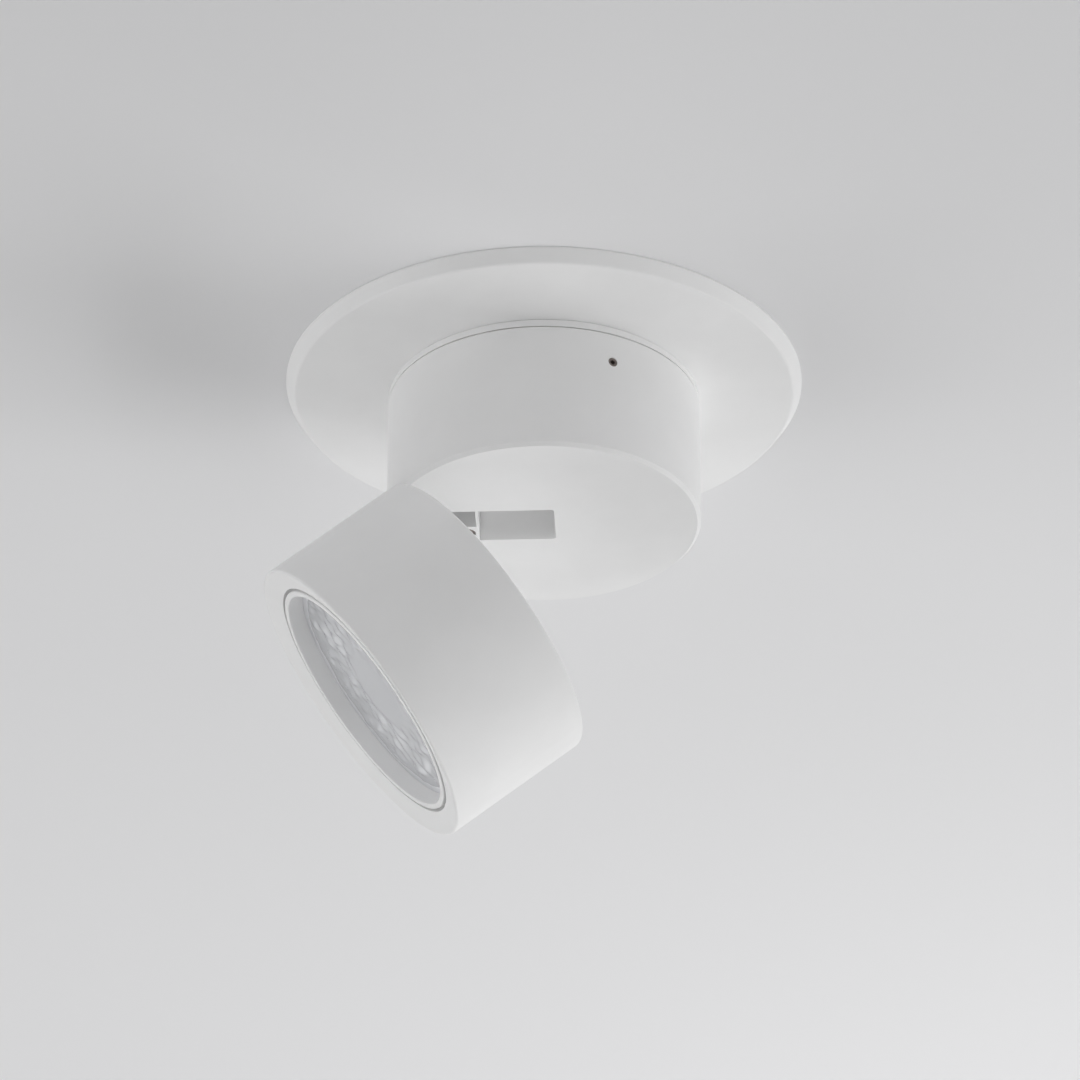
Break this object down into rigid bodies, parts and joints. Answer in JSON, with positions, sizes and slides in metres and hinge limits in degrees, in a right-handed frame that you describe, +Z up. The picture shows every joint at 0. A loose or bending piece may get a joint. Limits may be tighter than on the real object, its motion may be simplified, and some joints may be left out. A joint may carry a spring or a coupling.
{
  "type": "adjustable flush mount ceiling spotlight",
  "caption": "White ceiling spotlight: bevelled round flange, short turning drum and a cylindrical lamp head that folds out of the drum's underside on a side hinge.",
  "frame": {"origin": "centre of the ceiling plate's back face, on the ceiling plane, midway between the fixing slots", "axes": "+Z up into the ceiling; +X along the drum's slot, away from the hinge; +Y along the hinge pin"},
  "size_m": [0.1456, 0.141, 0.1311],
  "materials": {
    "white_coat": "matte",
    "white_steel": "matte",
    "zinc_steel": "satin",
    "black_steel": "satin",
    "foam": "matte",
    "black_rubber": "matte",
    "nylon": "satin",
    "brass": "satin",
    "driver_plastic": "matte",
    "bare_aluminium": "satin",
    "ceramic": "matte",
    "phosphor": "satin",
    "bright_reflector": "polished",
    "clear_lens": "gloss"
  },
  "bodies": {
    "base": {"trim_flange": "white_coat", "ceiling_gasket": "foam", "ceiling_plate": "zinc_steel", "cable_grommet": "black_rubber", "swivel_base": "white_coat", "base_screws": "zinc_steel", "glide_ring": "nylon", "stop_pin": "zinc_steel", "terminal_block": "nylon", "terminal_screws": "zinc_steel", "earth_terminal": "brass"},
    "drum": {"drum_shell": "white_coat", "grub_screws": "black_steel", "hinge_bracket": "white_steel", "bracket_screws": "black_steel", "hinge_pin": "zinc_steel", "hinge_washers": "zinc_steel", "driver_case": "driver_plastic", "driver_screws": "zinc_steel"},
    "head": {"head_housing": "white_coat", "hinge_arm": "white_steel", "arm_screws": "zinc_steel", "rear_grommet": "black_rubber", "heat_sink": "bare_aluminium", "heat_sink_screws": "zinc_steel", "led_board": "bare_aluminium", "cob_package": "ceramic", "cob_phosphor": "phosphor", "reflector": "bright_reflector", "lens": "clear_lens", "bezel_ring": "white_coat"}
  },
  "joints": [
    {"name": "drum_swivel", "type": "hinge", "parent": "base", "child": "drum", "pos_m": [0, 0, 0], "axis": [0, 0, 1], "range_deg": [-175, 175]},
    {"name": "head_tilt", "type": "hinge", "parent": "drum", "child": "head", "pos_m": [-0.0353, 0, -0.0423], "axis": [0, 1, 0], "range_deg": [-52, 23]}
  ]
}
